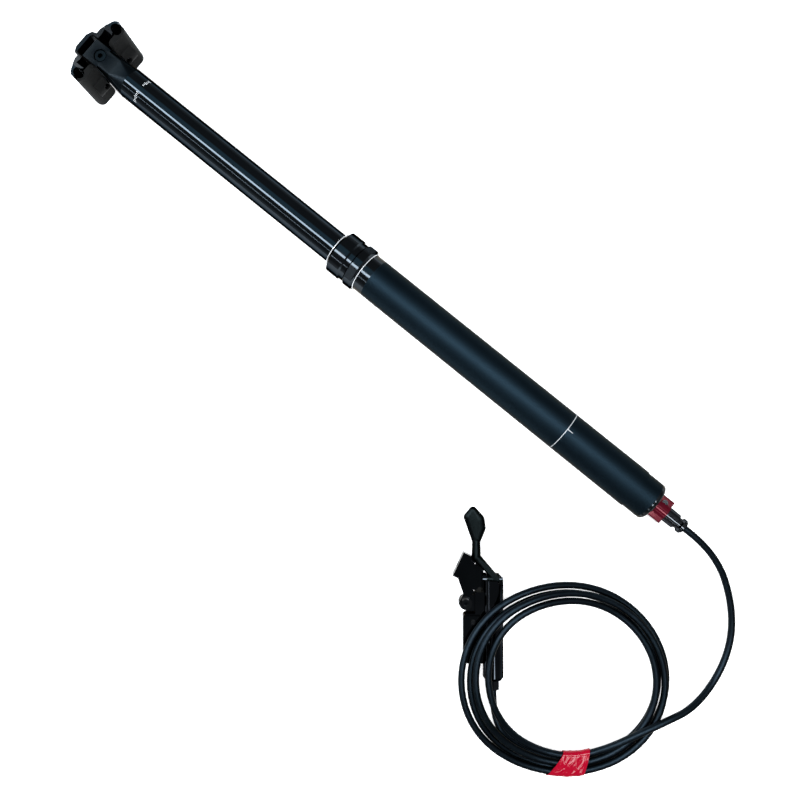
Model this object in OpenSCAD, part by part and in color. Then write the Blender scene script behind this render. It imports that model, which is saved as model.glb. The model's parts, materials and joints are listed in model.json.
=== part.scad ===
// Dropper seatpost with a hydraulic thumb remote, as it lies on a table.
// Millimetres. +X runs down the post from the saddle clamp to the foot, +Z is up from the table,
// and the origin is on the post axis at the shoulder where the frame's seat tube stops.

/* [Post] */
// Outer diameter of the lower tube
post_d = 31.6; // [30:0.1:34.9]
// Wall of the lower tube
post_wall = 1.7; // [1.4:0.1:2.2]
// Length of the lower tube below the shoulder
post_len = 259; // [245:1:330]
// Length of the turned-down neck above the shoulder
neck_len = 16; // [14:1:20]
// Depth that the neck is turned down by
neck_step = 0.8; // [0.5:0.1:0.9]
// Travel of the post
travel = 200; // [100:5:205]
// Outer diameter of the stanchion
stanchion_d = 25; // [23.5:0.1:25.4]
// Wall of the stanchion
stanchion_wall = 2; // [1.6:0.1:2.4]
// Overlap of stanchion and lower tube at full height
overlap = 38; // [34:1:44]

/* [Collar] */
// Diameter of the lock collar, which is what the post lies on
lock_d = 36; // [35.4:0.1:38]
// Height of the lock collar
lock_h = 10; // [8:0.5:12]
// Diameter of the collar cap
cap_d = 35.4; // [34.6:0.1:36]
// Height of the collar cap, waist included
cap_h = 18; // [17:0.5:19]
// Diameter of the waist between cap and lock collar
waist_d = 33.4; // [32.4:0.1:34]
// Height of the waist
waist_h = 4; // [2.5:0.5:5]
// Height of the lip over the dust wiper
lip_h = 4; // [2:0.5:5]
// Height of the dust wiper
wiper_h = 4; // [3:0.5:4.5]
// Length of the cone at the top of the collar cap
cap_cone = 2.6; // [1.6:0.1:3]
// Depth of the wrench flats on the lock collar, as a share of its wall
lock_flat = 0.27; // [0.15:0.01:0.4]
// Edge chamfer of the collar pieces
collar_chamfer = 1.2; // [0.4:0.1:1.6]
// Length of the upper bushing
bushing_len = 22; // [18:1:24]
// Length of the rubber top-out bumper
topout_len = 4; // [3:0.5:5]

/* [Head] */
// Height of the stanchion above the shoulder, up to the forged head
stanchion_rise = 241.5; // [235:0.5:300]
// Distance from the end of the stanchion to the saddle rails
rail_rise = 24.5; // [23:0.5:30]
// Width of the head's tongue
tongue_w = 17; // [15:0.5:18]
// Thickness of the tongue, fore and aft
tongue_t = 27; // [26:0.5:28]
// Radius of the tongue's rounded top about the tilt axis
tongue_top_r = 17.8; // [17:0.2:19]
// Depth of the head's spigot in the stanchion
spigot_len = 18; // [14:1:19]
// Diameter of the lock bolt's head
lock_bolt_d = 8.7; // [8:0.1:9]
// Thickness of the lock bolt's head
lock_bolt_t = 3.2; // [2.8:0.1:3.6]
// Diameter of the counterbore round the lock bolt's head
lock_bore_d = 10.3; // [9.6:0.1:10.6]
// Diameter of the lock bolt's shank and of the brass shoe
lock_shank_d = 5; // [4:0.1:5.5]

/* [Saddle clamp] */
// Diameter of the saddle rails
rail_d = 7; // [7:0.1:7.4]
// Distance between the rails, centre to centre
rail_gap = 44; // [43:0.5:46]
// Wall of the cradles and the yoke round a rail
rail_wall = 1.9; // [1.6:0.1:2.4]
// Length of the cradles and yoke behind the post axis
clamp_back = 18; // [16:0.5:18]
// Length of the cradles in front of the post axis
cradle_front = 21; // [16:0.5:22]
// Length of the yoke in front of the post axis
yoke_front = 25; // [22:0.5:26]
// Slit between the cradles and the yoke
clamp_slit = 1; // [0.6:0.1:1.4]
// Diameter of the tilt barrel
barrel_d = 14; // [13:0.5:15]
// Thickness of the yoke's arch
yoke_t = 3.2; // [2.6:0.1:4]
// Distance of the yoke's bolts from the middle
yoke_bolt_y = 13; // [12.8:0.1:13.4]
// Diameter of the yoke's bolts
yoke_bolt_d = 4; // [3:0.5:4]
// Corner radius of the cradles' ends
cradle_round = 4; // [2:0.5:5]

/* [Hydraulics] */
// Diameter of the piston rod
rod_d = 10; // [9:0.5:11]
// Diameter of the bore through the piston rod
rod_bore_d = 4; // [3:0.5:5]
// Length of the main piston
piston_len = 12; // [10:0.5:14]
// Depth of the seal grooves
groove_depth = 1.6; // [1:0.1:2]
// Width of the seals
seal_w = 2.6; // [2:0.1:3]
// Length of the seal head in the stanchion's lower end
seal_head_len = 12; // [10:0.5:16]
// Length of the floating piston
float_len = 12; // [10:0.5:12.5]
// Diameter of the air valve
air_valve_d = 6; // [5:0.5:7]
// Length of the air valve
air_valve_len = 14; // [10:0.5:16]
// Number of brass guide keys
key_count = 3; // [2:1:4]
// Length of a guide key
key_len = 13; // [10:0.5:15]
// Width of a guide key
key_w = 3; // [2.4:0.1:3.4]
// Depth of the key's slot in the stanchion
key_slot = 0.8; // [0.5:0.1:1]
// Depth of the key's groove in the lower tube
key_groove = 0.6; // [0.4:0.1:0.7]

/* [Foot] */
// Length of the foot cap outside the tube
foot_len = 16.6; // [14:0.2:20]
// Diameter of the foot cap outside the tube
foot_d = 30.4; // [29:0.1:31]
// Length of the foot cap's plug inside the tube
plug_len = 14; // [12:0.5:15]
// Rounding of the foot cap's end
foot_round = 2.2; // [1:0.1:3]
// Depth of the piston rod in the foot cap
rod_seat = 17; // [14:0.5:19]
// Length of the bottom-out bumper
bottomout_len = 6; // [4:0.5:6.5]
// Length of the red coupling ring
coupling_len = 11.4; // [9:0.2:13]
// Diameter of the coupling ring's barrel
coupling_d = 14; // [13:0.2:15]
// Width across the coupling ring's two lugs
coupling_w = 19; // [17.6:0.2:20]
// Height of the lugs
lug_h = 9; // [8:0.2:10]
// Diameter of the coupling's screw
coupling_screw_d = 4.6; // [4:0.1:5]
// Length of the black sleeve
sleeve_len = 10; // [8:0.5:12]
// Diameter of the black sleeve
sleeve_d = 11.6; // [10:0.2:12.4]
// Length of the hose nut
nut_len = 7; // [6:0.5:8]
// Diameter of the hose nut's flange
nut_d = 11.4; // [10:0.2:12.4]

/* [Remote] */
// Diameter of the remote's cylinder barrel
remote_d = 15.2; // [14.4:0.2:16]
// Length of the barrel from the port to the fork
remote_len = 64; // [63:0.5:68]
// Bore of the remote's cylinder
remote_bore = 8; // [7:0.2:9]
// Distance of the pivot in front of the barrel
pivot_fore = 9; // [8.5:0.1:10]
// Height of the pivot over the table
pivot_h = 4.7; // [4.6:0.1:5]
// Diameter of the pivot pin
pivot_d = 4; // [3:0.1:4.4]
// Width of the lever's hub
hub_w = 9; // [8:0.2:9.6]
// Radius of the lever's hub
hub_r = 4.4; // [4:0.1:4.6]
// Radius of the cam nose that pushes the piston
nose_r = 2.4; // [2:0.1:3]
// Length of the lever's paddle
paddle_len = 26; // [22:1:30]
// Width of the lever's paddle
paddle_w = 17; // [14:0.5:18]
// Thickness of the paddle
paddle_t = 4; // [3:0.2:5]
// Diameter of the lever's stem
stem_d = 7; // [6:0.2:7.2]
// Width of the reservoir beside the barrel
tank_w = 15; // [13:0.1:16]
// Length of the reservoir
tank_len = 36; // [30:1:37]
// Height of the reservoir
tank_h = 11.4; // [10:0.2:12]
// Thickness of the reservoir's cover
cover_t = 1.6; // [1.2:0.1:2]
// Diameter of the cover's screws
cover_screw_d = 3.4; // [3:0.1:4]
// Diameter of the bracket's bolt head
bracket_bolt_d = 7; // [6:0.2:8]
// Diameter of the threaded hole in the bracket's pad
pad_hole_d = 5; // [4:0.1:6]
// Length of the bracket's pad
pad_len = 19; // [16:0.5:20]
// Thickness of the bracket's pad
pad_t = 6.2; // [5:0.2:6.4]

/* [Hose] */
// Diameter of the hose
hose_d = 5; // [4.6:0.1:5]
// Innermost radius of the coil
coil_r = 58; // [56:0.5:60]
// Spacing of the coil's loops, side to side
loop_pitch = 5.8; // [5.6:0.1:6.2]
// Height of one layer of loops
layer_h = 5.6; // [5.5:0.1:6]
// Length of the wrap-round tag
tag_len = 24; // [20:1:26]
// Thickness of the tag
tag_t = 0.5; // [0.4:0.1:0.6]

/* [Hidden] */

$fn = 64;
// Facets of the round ends that are drawn out into one shape
blend_fn = 32;
// Radial clearance of a running fit or a slip fit
fit = 0.05;
// Gap between pieces that only face each other
air = 0.3;
// Overrun of a cut past the face that it opens
over = 1;
// Corner radius of the coupling's lugs
lug_round = 1;
// Seat depth of the coupling's screw, and the part of it that stands out
screw_sink = 2;
screw_rise = 0.5;
// Corner radius of the head's tongue
tongue_round = 2;
// Depth from the tongue's face to the lock bolt's head
lock_sink = 0.5;
// Height of the lock bolt over the rails' axis
lock_rise = 3;
// How far the tongue's corners stand out past the arc of its top
tongue_corner = 1.6;
// Length of the brass shoe
shoe_len = 2;
// Length of the poppet's head
poppet_t = 3;

post_r = post_d / 2;
post_bore_r = post_r - post_wall;
neck_r = post_r - neck_step;
stanchion_r = stanchion_d / 2;
stanchion_bore_r = stanchion_r - stanchion_wall;
floor_z = -lock_d / 2;
head_x = -stanchion_rise;
rail_x = head_x - rail_rise;
barrel_r = barrel_d / 2;
rail_r = rail_d / 2;
rail_y = rail_gap / 2;
shell_r = rail_r + rail_wall;
cap_x = -lock_h - cap_h;
lip_x = cap_x + lip_h;
bushing_x = -neck_len;
bushing_end = bushing_x + bushing_len;
key_x = bushing_end + topout_len + air;
key_top_r = post_bore_r + key_groove - 2 * fit;
key_low_r = stanchion_r - key_slot + fit;
bush_x = key_x + key_len + over;
piston_r = stanchion_bore_r - fit;
piston_x = bushing_end;
rod_r = rod_d / 2;
plug_x = post_len - plug_len;
foot_x = post_len + foot_len;
rod_end = plug_x + rod_seat;
sleeve_x = foot_x + coupling_len;
nut_x = sleeve_x + sleeve_len;
hose_x = nut_x + nut_len;
hose_r = hose_d / 2;
seal_head_x = overlap - seal_head_len;
// The rod takes up oil as the post drops, and the floating piston gives way to it by this much
float_stroke = travel * pow(rod_r / stanchion_bore_r, 2);
// Spare between the floating piston and the spigot at full drop
float_spare = 2.5;
float_x = head_x + spigot_len + float_stroke + float_spare;

// A round bar along X
module bar_x(x0, x1, r) {
    translate([x0, 0, 0]) rotate([0, 90, 0]) cylinder(h = x1 - x0, r = r);
}

// A round bar along X that changes radius evenly
module taper_x(x0, x1, r0, r1) {
    translate([x0, 0, 0]) rotate([0, 90, 0]) cylinder(h = x1 - x0, r1 = r0, r2 = r1);
}

// A round tube along X
module tube_x(x0, x1, r_out, r_in) {
    difference() {
        bar_x(x0, x1, r_out);
        bar_x(x0 - over, x1 + over, r_in);
    }
}

// A solid of revolution about X, from a list of [x, r]
module turned_x(outline) {
    rotate([0, 90, 0]) rotate_extrude() polygon([for (p = outline) [p[1], p[0]]]);
}

// A round bar along Y
module bar_y(y0, y1, r) {
    translate([0, y0, 0]) rotate([-90, 0, 0]) cylinder(h = y1 - y0, r = r);
}

// Copies round the post axis
module round_post(count) {
    for (i = [0 : count - 1]) rotate([i * 360 / count, 0, 0]) children();
}

// Lower tube with its turned neck and the grooves that the guide keys run in
module lower_tube() {
    color("#1a1d22") difference() {
        union() {
            bar_x(0, post_len, post_r);
            bar_x(-neck_len, over, neck_r);
        }
        bar_x(-neck_len - over, post_len + over, post_bore_r);
        round_post(key_count)
            translate([bushing_end + over, -key_w / 2 - fit, 0])
                cube([plug_x - bushing_end - 2 * over, key_w + 2 * fit, post_bore_r + key_groove]);
    }
}

// Angle of the lock collar's flats from the top
flat_angle = 45;
flat_turn = -10;
// Bevels at the top and the foot of the lock collar, as shares of its wall
lock_top_bevel = 0.4;
lock_foot_bevel = 0.68;
lock_foot_land = 0.2;

// Lock collar on the neck, seated on the shoulder, with two pairs of wrench flats
module lock_collar() {
    r = lock_d / 2;
    wall = r - neck_r - fit;
    top = wall * lock_top_bevel;
    foot = wall * lock_foot_bevel;
    land = wall * lock_foot_land;
    color("#0c0d10") difference() {
        turned_x([
            [-lock_h, neck_r + fit], [-lock_h, r - top], [-lock_h + top, r],
            [-land - foot, r], [-land, r - foot], [0, r - foot], [0, neck_r + fit]
        ]);
        for (a = [flat_angle, 180 - flat_angle], side = [-1, 1]) rotate([flat_turn + side * a, 0, 0])
            translate([-lock_h - over, -lock_d / 2, r - wall * lock_flat])
                cube([lock_h + 2 * over, lock_d, lock_d]);
    }
}

// Collar cap that screws onto the neck and holds the wiper and the foam ring
module collar_cap() {
    r = cap_d / 2;
    c = collar_chamfer;
    waist_x = -lock_h - waist_h;
    color("#0c0d10") turned_x([
        [cap_x, stanchion_r + air], [cap_x, stanchion_r + c], [cap_x + cap_cone, r], [waist_x - c, r],
        [waist_x, waist_d / 2], [-lock_h, waist_d / 2], [-lock_h, neck_r + fit],
        [-neck_len, neck_r + fit], [lip_x, neck_r + fit], [lip_x, stanchion_r + air]
    ]);
}

// Dust wiper under the cap's lip
module dust_wiper() {
    color("#222222") tube_x(lip_x, lip_x + wiper_h, neck_r, stanchion_r + fit);
}

// Oiled foam ring between wiper and bushing
module foam_ring() {
    color("#7a5a2a") tube_x(lip_x + wiper_h, -neck_len, neck_r, stanchion_r + fit);
}

// Upper bushing in the neck's bore
module upper_bushing() {
    color("#4b4f55") tube_x(bushing_x, bushing_end, post_bore_r - fit, stanchion_r + fit);
}

// Rubber ring under the bushing that the keys stop on
module topout_bumper() {
    color("#1c1c1c") tube_x(bushing_end, bushing_end + topout_len, post_bore_r - fit, stanchion_r + fit);
}

// Hollow rod from the foot to the main piston
module piston_rod() {
    color("#b9bcc2") tube_x(piston_x + piston_len / 2, rod_end, rod_r, rod_bore_d / 2);
}

// Main piston, with a port for the poppet and a groove for its seal
module main_piston() {
    mid = piston_x + piston_len / 2;
    color("#8d9096") difference() {
        bar_x(piston_x, piston_x + piston_len, piston_r);
        bar_x(piston_x - over, piston_x + piston_len + over, rod_bore_d / 2);
        bar_x(mid, piston_x + piston_len + over, rod_r + fit);
        translate([mid, 0, 0]) tube_x(-seal_w - fit, fit, piston_r + over, piston_r - groove_depth);
    }
}

// Seal round the main piston
module piston_seal() {
    mid = piston_x + piston_len / 2;
    color("#202020") tube_x(mid - seal_w, mid, piston_r, piston_r - groove_depth + fit);
}

// Rubber ring on the foot cap that ends the travel
module bottomout_bumper() {
    color("#1c1c1c") tube_x(plug_x - bottomout_len, plug_x, stanchion_bore_r - over, rod_r + fit);
}

// Foot cap: plug in the tube, rounded end outside it
module foot_cap() {
    r = foot_d / 2;
    o_x = plug_x + plug_len / 2;
    color("#0d0e11") difference() {
        union() {
            bar_x(plug_x, post_len, post_bore_r - fit);
            turned_x([
                [post_len, 0], [post_len, r],
                for (a = [0 : 15 : 90])
                    [foot_x - foot_round + foot_round * sin(a), r - foot_round + foot_round * cos(a)],
                [foot_x, 0]
            ]);
        }
        bar_x(plug_x - over, rod_end, rod_r + fit);
        bar_x(plug_x, foot_x + over, rod_bore_d / 2);
        tube_x(o_x - fit, o_x + seal_w + fit, post_bore_r + over, post_bore_r - groove_depth);
    }
}

// O-ring round the foot cap's plug
module foot_oring() {
    o_x = plug_x + plug_len / 2;
    color("#202020") tube_x(o_x, o_x + seal_w, post_bore_r - fit, post_bore_r - groove_depth + fit);
}

// Seat of the coupling's screw in the upper lug
module at_coupling_screw() {
    translate([foot_x + coupling_len / 2, coupling_w / 2 - lug_h / 2, lug_h / 2]) children();
}

// Red coupling ring with two lugs
module coupling_ring() {
    reach = coupling_w / 2 - lug_round;
    color("#a0142c") difference() {
        union() {
            bar_x(foot_x, sleeve_x, coupling_d / 2);
            translate([foot_x, 0, 0]) hull() for (y = [-reach, reach], z = [-1, 1])
                translate([0, y, z * (lug_h / 2 - lug_round)]) rotate([0, 90, 0])
                    cylinder(h = coupling_len, r = lug_round, $fn = blend_fn);
        }
        bar_x(foot_x - over, sleeve_x + over, rod_bore_d / 2);
        at_coupling_screw() translate([0, 0, -screw_sink])
            cylinder(h = screw_sink + over, d = coupling_screw_d);
    }
}

// Small slotted screw in the coupling's lug
module coupling_screw() {
    color("#d8dade") difference() {
        at_coupling_screw() translate([0, 0, -screw_sink])
            cylinder(h = screw_sink + screw_rise, d = coupling_screw_d - 2 * fit);
        at_coupling_screw() translate([-coupling_screw_d, -over / 3, 0])
            cube([2 * coupling_screw_d, over * 2 / 3, over]);
    }
}

// Black sleeve under the coupling
module coupling_sleeve() {
    c = over / 2;
    color("#15171a") turned_x([
        [sleeve_x, rod_bore_d / 2], [sleeve_x, sleeve_d / 2], [nut_x - c, sleeve_d / 2],
        [nut_x, sleeve_d / 2 - c], [nut_x, rod_bore_d / 2]
    ]);
}

// Hose nut: a waist and a round flange that the hose comes out of
module hose_nut() {
    neck = nut_d / 2 - 1.4 * over;
    mid = nut_x + nut_len * 0.4;
    color("#15171a") turned_x([
        [nut_x, rod_bore_d / 2], [nut_x, neck], [mid, neck], [mid + over, nut_d / 2],
        [hose_x - over, nut_d / 2], [hose_x, nut_d / 2 - over], [hose_x, rod_bore_d / 2]
    ]);
}

// Stanchion with slots for the guide keys
module stanchion() {
    color("#08090b") difference() {
        tube_x(head_x, overlap, stanchion_r, stanchion_bore_r);
        round_post(key_count)
            translate([key_x - fit, -key_w / 2 - fit, stanchion_r - key_slot])
                cube([key_len + 2 * fit, key_w + 2 * fit, key_slot + over]);
    }
}

// Brass keys that stop the stanchion turning
module guide_keys() {
    color("#b08d3c") round_post(key_count)
        translate([key_x, -key_w / 2, key_low_r])
            cube([key_len, key_w, key_top_r - key_low_r - key_groove / 2]);
}

// Guide bush on the stanchion's lower end
module lower_bush() {
    color("#4b4f55") tube_x(bush_x, overlap, post_bore_r - fit, stanchion_r + fit);
}

// Seal head that closes the stanchion round the rod
module seal_head() {
    mid = seal_head_x + seal_head_len / 2;
    color("#8d9096") difference() {
        bar_x(seal_head_x, overlap, piston_r);
        bar_x(seal_head_x - over, overlap + over, rod_r + fit);
        tube_x(mid - fit, mid + seal_w + fit, rod_r + groove_depth, rod_r);
    }
}

// Seal in the seal head, round the rod
module rod_seal() {
    mid = seal_head_x + seal_head_len / 2;
    color("#202020") tube_x(mid, mid + seal_w, rod_r + groove_depth - fit, rod_r + fit);
}

// Where the counterbore of the lock bolt starts, measured from the post axis
lock_floor = tongue_t / 2 - lock_bolt_t - lock_sink;

// Forged head: spigot, blend from round to flat, and a tongue with the tilt barrel's eye
module head_tongue() {
    half_t = tongue_t / 2;
    soft = tongue_round;
    color("#16181c") difference() {
        union() {
            bar_x(head_x, head_x + spigot_len, stanchion_bore_r - fit);
            hull() {
                translate([head_x - over, 0, 0]) rotate([0, 90, 0])
                    cylinder(h = over, r = stanchion_r, $fn = 2 * blend_fn);
                for (y = [-1, 1], z = [-1, 1])
                    translate([rail_x, y * (tongue_w / 2 - soft), z * (half_t - soft)]) rotate([0, 90, 0])
                        cylinder(h = rail_rise / 2, r = soft, $fn = blend_fn);
            }
            intersection() {
                translate([rail_x, 0, 0]) bar_y(-tongue_w / 2, tongue_w / 2, tongue_top_r + tongue_corner);
                translate([rail_x - tongue_top_r, -tongue_w / 2, -half_t])
                    cube([tongue_top_r + over, tongue_w, tongue_t]);
            }
        }
        translate([rail_x, 0, 0]) bar_y(-tongue_w, tongue_w, barrel_r + fit);
        translate([rail_x - lock_rise, 0, lock_floor]) cylinder(h = half_t, d = lock_bore_d);
        translate([rail_x - lock_rise, 0, 0]) cylinder(h = half_t, d = lock_shank_d + 2 * fit);
        bar_x(head_x, head_x + spigot_len + over, air_valve_d / 2 + fit);
    }
}

// Air valve in the spigot
module air_valve() {
    end = head_x + spigot_len;
    color("#b08d3c") bar_x(end - air_valve_len, end, air_valve_d / 2);
}

// Socket bolt in the tongue's front face
module lock_bolt() {
    socket_d = lock_bolt_d / 2;
    color("#2a2d33") translate([rail_x - lock_rise, 0, 0]) difference() {
        union() {
            translate([0, 0, lock_floor]) cylinder(h = lock_bolt_t, d = lock_bolt_d);
            translate([0, 0, barrel_r + shoe_len]) cylinder(h = lock_floor, d = lock_shank_d);
        }
        translate([0, 0, lock_floor + over]) cylinder(h = lock_bolt_t, d = socket_d, $fn = 6);
        translate([0, 0, lock_floor + lock_bolt_t]) cylinder(h = tongue_t, d = lock_bolt_d);
    }
}

// Brass shoe between the lock bolt and the tilt barrel
module lock_shoe() {
    color("#b08d3c") translate([rail_x - lock_rise, 0, barrel_r + fit])
        cylinder(h = shoe_len - fit, d = lock_shank_d);
}

// Floating piston between oil and air
module floating_piston() {
    mid = float_x + float_len / 2;
    color("#8d9096") difference() {
        bar_x(float_x, float_x + float_len, piston_r);
        bar_x(float_x - over, mid - seal_w, piston_r - 3 * over);
        tube_x(mid - fit, mid + seal_w + fit, piston_r + over, piston_r - groove_depth);
    }
}

// Seal round the floating piston
module floating_seal() {
    mid = float_x + float_len / 2;
    color("#202020") tube_x(mid, mid + seal_w, piston_r, piston_r - groove_depth + fit);
}

// Poppet that opens the main piston's port, with its stem in the rod
module poppet() {
    head_t = poppet_t;
    stem_r = rod_bore_d / 2 - 5 * fit;
    color("#b9bcc2") union() {
        bar_x(piston_x - head_t, piston_x, rod_bore_d / 2 + over);
        bar_x(piston_x - over, plug_x, stem_r);
    }
}

// Places its children at the tilt axis, which the rails cross
module at_rails() {
    translate([rail_x, 0, 0]) children();
}

// Half of the space, above or below the rails
module rail_half(up) {
    size = 4 * rail_gap;
    translate([up ? -size - clamp_slit / 2 : clamp_slit / 2, -size / 2, -size / 2]) cube(size);
}

// Depth of the tilt barrel's pockets in the cradles, and the length of the barrel on each side
pocket = 2;
barrel_y = rail_y - shell_r + pocket;
// Radius of the heads of the yoke's bolts
yoke_head_r = yoke_bolt_d * 0.7;
// Wall of the cradles' bosses round the barrel
boss_wall = 2.4;
// Gap between the cradles' sleeves and the tongue, and between their wings and the tongue
sleeve_gap = 2.8;
wing_gap = 1.4;

// Tilt barrel through the tongue's eye, drilled for the yoke's bolts
module tilt_barrel() {
    color("#3a3d42") at_rails() difference() {
        bar_y(-barrel_y, barrel_y, barrel_r);
        for (side = [-1, 1]) translate([0, side * yoke_bolt_y, 0]) {
            bar_x(-barrel_d, barrel_d, yoke_bolt_d / 2 + fit);
            bar_x(barrel_r * 0.6, barrel_d, yoke_head_r + fit);
        }
    }
}

// One cradle: half a rail shell with a flat wing and round corners, and a half sleeve round the barrel
module cradle(side) {
    z_mid = (cradle_front - clamp_back) / 2;
    half_len = (cradle_front + clamp_back) / 2 - cradle_round;
    wing_y = tongue_w / 2 + wing_gap;
    edges = [wing_y + cradle_round, rail_y + shell_r + over - cradle_round];
    boss_r = barrel_r + boss_wall;
    sleeve_y = tongue_w / 2 + sleeve_gap;
    color("#2b2d30") at_rails() difference() {
        intersection() {
            union() {
                intersection() {
                    translate([0, side * rail_y, -clamp_back]) union() {
                        cylinder(h = clamp_back + cradle_front, r = shell_r);
                        translate([0, side > 0 ? wing_y - rail_y : 0, 0])
                            cube([shell_r, rail_y - wing_y, clamp_back + cradle_front]);
                    }
                    hull() for (y = edges, z = [-1, 1])
                        translate([0, side * y, z_mid + z * half_len]) rotate([0, 90, 0])
                            cylinder(h = rail_gap, r = cradle_round, $fn = blend_fn);
                }
                bar_y(side > 0 ? sleeve_y : -rail_y, side > 0 ? rail_y : -sleeve_y, boss_r);
            }
            rail_half(false);
        }
        translate([0, side * rail_y, -clamp_back - over])
            cylinder(h = clamp_back + cradle_front + 2 * over, r = rail_r);
        bar_y(-barrel_y - fit, barrel_y + fit, barrel_r + fit);
        translate([0, side * yoke_bolt_y, 0]) bar_x(0, rail_gap, yoke_head_r + air);
    }
}

// Cradle under the left rail
module cradle_left() {
    cradle(1);
}

// Cradle under the right rail
module cradle_right() {
    cradle(-1);
}

// Gap between the tongue's top and the yoke, and the height of the yoke's hump over the rails
hump_gap = 2.8;
hump = tongue_top_r + hump_gap + yoke_t;
// Height of the yoke's shoulders, where its bolts end
shoulder_rise = 6;
shoulder = barrel_r + shoulder_rise;
// Half the width of the hump, inside
hump_in = tongue_w / 2 + 2.6 * air;
// Rounding of the hump
hump_round = 3.4;
// Foot of the yoke's legs, inside
leg_in = rail_y - shell_r + air;

// Outline of the yoke seen from the front, one side of it, as [height over the rails, distance]
function yoke_side() = [
    [hump, 0], [hump, hump_in - hump_round], [hump - hump_round * 0.35, hump_in - hump_round * 0.25],
    [hump - hump_round * 1.2, hump_in + yoke_t * 0.4], [shoulder + yoke_t * 0.7, hump_in + yoke_t * 0.7],
    [shoulder, yoke_bolt_y + yoke_bolt_d * 0.4], [shell_r * 1.2, rail_y - shell_r * 0.3],
    [shell_r, rail_y + boss_wall / 2], [clamp_slit / 2, rail_y + boss_wall / 2], [clamp_slit / 2, leg_in],
    [barrel_r + over, leg_in], [shoulder - yoke_t * 0.8, yoke_bolt_y],
    [shoulder + air, hump_in + air], [hump - yoke_t - hump_round * 0.6, hump_in],
    [hump - yoke_t, hump_in - hump_round / 2], [hump - yoke_t, 0]
];

// Outline of the yoke seen from above, as [z, y]: long at the rails and short in the middle
function yoke_plan() = let (
    mid = tongue_t / 2 - over,
    in_y = hump_in - over,
    leg_y = rail_y - 2 * over,
    wide = rail_gap
) [
    [yoke_front, leg_y], [yoke_front, wide], [-clamp_back, wide], [-clamp_back, leg_y],
    [-mid, in_y], [-mid, -in_y], [-clamp_back, -leg_y], [-clamp_back, -wide],
    [yoke_front, -wide], [yoke_front, -leg_y], [mid, -in_y], [mid, in_y]
];

// Yoke: two half shells over the rails, joined by an arch over the tongue
module yoke() {
    length = clamp_back + yoke_front;
    color("#101114") at_rails() difference() {
        intersection() {
            for (side = [-1, 1]) {
                translate([0, side * rail_y, -clamp_back]) cylinder(h = length, r = shell_r);
                translate([0, 0, -clamp_back]) linear_extrude(length)
                    polygon([for (p = yoke_side()) [-p[0], side * p[1]]]);
            }
            rail_half(true);
            rotate([0, -90, 0]) linear_extrude(2 * hump) polygon(yoke_plan());
        }
        for (side = [-1, 1]) {
            translate([0, side * rail_y, -clamp_back - over]) cylinder(h = length + 2 * over, r = rail_r);
            translate([0, side * yoke_bolt_y, 0]) bar_x(-hump, 0, yoke_bolt_d / 2 + fit);
        }
        bar_y(-barrel_y - air, barrel_y + air, barrel_r + air);
    }
}

// Two bolts that pull the yoke onto the barrel, with their heads under it
module yoke_bolts() {
    seat = barrel_r * 0.6;
    head_t = yoke_bolt_d * 0.8;
    color("#2a2d33") at_rails() for (side = [-1, 1]) translate([0, side * yoke_bolt_y, 0]) difference() {
        union() {
            bar_x(-shoulder + air, seat + over, yoke_bolt_d / 2);
            bar_x(seat, seat + head_t, yoke_head_r);
        }
        translate([seat + head_t / 2, 0, 0]) rotate([0, 90, 0])
            cylinder(h = head_t, d = yoke_bolt_d * 0.7, $fn = 6);
    }
}

// Direction of the remote on the table, and the place of its port
lay_angle = -51;
port_at = [268, -176];
remote_r = remote_d / 2;
remote_bore_r = remote_bore / 2;
pivot_x = -remote_len - pivot_fore;
nose_x = pivot_x + hub_r - nose_r + 0.6 * over;
nose_h = remote_r;
push_x = nose_x + nose_r + air;
// Place of the bracket's bolt and of the reservoir behind it
bolt_back = 8.3;
bolt_room = 7.7;
bolt_x = -remote_len + bolt_back;
tank_x = bolt_x + bolt_room + tank_len;
tank_y = -remote_r - tank_w;
// Width of the ledge beside the barrel
ledge_w = 6;
ledge_y = -remote_r - ledge_w;
// Lug that the bracket's bolt stands on, its radius and height
bolt_y = -20.5;
bolt_lug_r = 5.2;
lug_top = 7;
// Step down from the lug to the web that joins it to the reservoir
web_drop = 1;
// Bevel of the right ear's front corner
ear_bevel = 3.6;
// Ears of the fork that hold the pivot pin
ear_in = hub_w / 2 + air;
ear_r = pivot_h - air / 2;
// End of the cylinder's bore and of the drilling to the port
bore_end = 8;
port_end_depth = 9;
// Bevel at the barrel's port end
port_bevel = 1.4;
// Roof over the fork, the part of it in front of the barrel
guard_fore = 8.6;
// Tapped depth for the bracket's bolt and for the cover's screws
tap_depth = 6;
cover_tap = 4;
// Elbow of the lever's arm, and the length of the stem from there to the paddle
// Elbow of the lever, beyond its pin and out from the barrel's axis
elbow_reach = 16;
elbow_out = 12.4;
elbow = [pivot_x - elbow_reach, -elbow_out];
stem_len = 12;
paddle_x = elbow.x - stem_len;
// Corner radius at the root of the lever's arm
root_r = 2;
// Height of the lever's arm and stem over the table, at mid-height
lever_z = pivot_h + 1;

// Places its children in the remote's own frame: X down its barrel to the port, Z up from the table
module in_remote() {
    translate([port_at.x, port_at.y, floor_z]) rotate([0, 0, lay_angle]) children();
}

// Lifts its children to the axis of the remote's barrel
module on_barrel() {
    in_remote() translate([0, 0, remote_r]) children();
}

// Corner radius of the reservoir, and the margin of its cover
tank_round = 3;
cover_edge = 1;

// Places its children at the bracket's bolt, at a height over the table
module at_bracket_bolt(z) {
    in_remote() translate([bolt_x, bolt_y, z]) children();
}

// The lug seen from above, or the bracket's foot on it
module lug_plan(r) {
    hull() {
        translate([bolt_x, bolt_y]) circle(r = r, $fn = blend_fn);
        translate([bolt_x - r, ledge_y]) square([2 * r, over]);
    }
}

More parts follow.
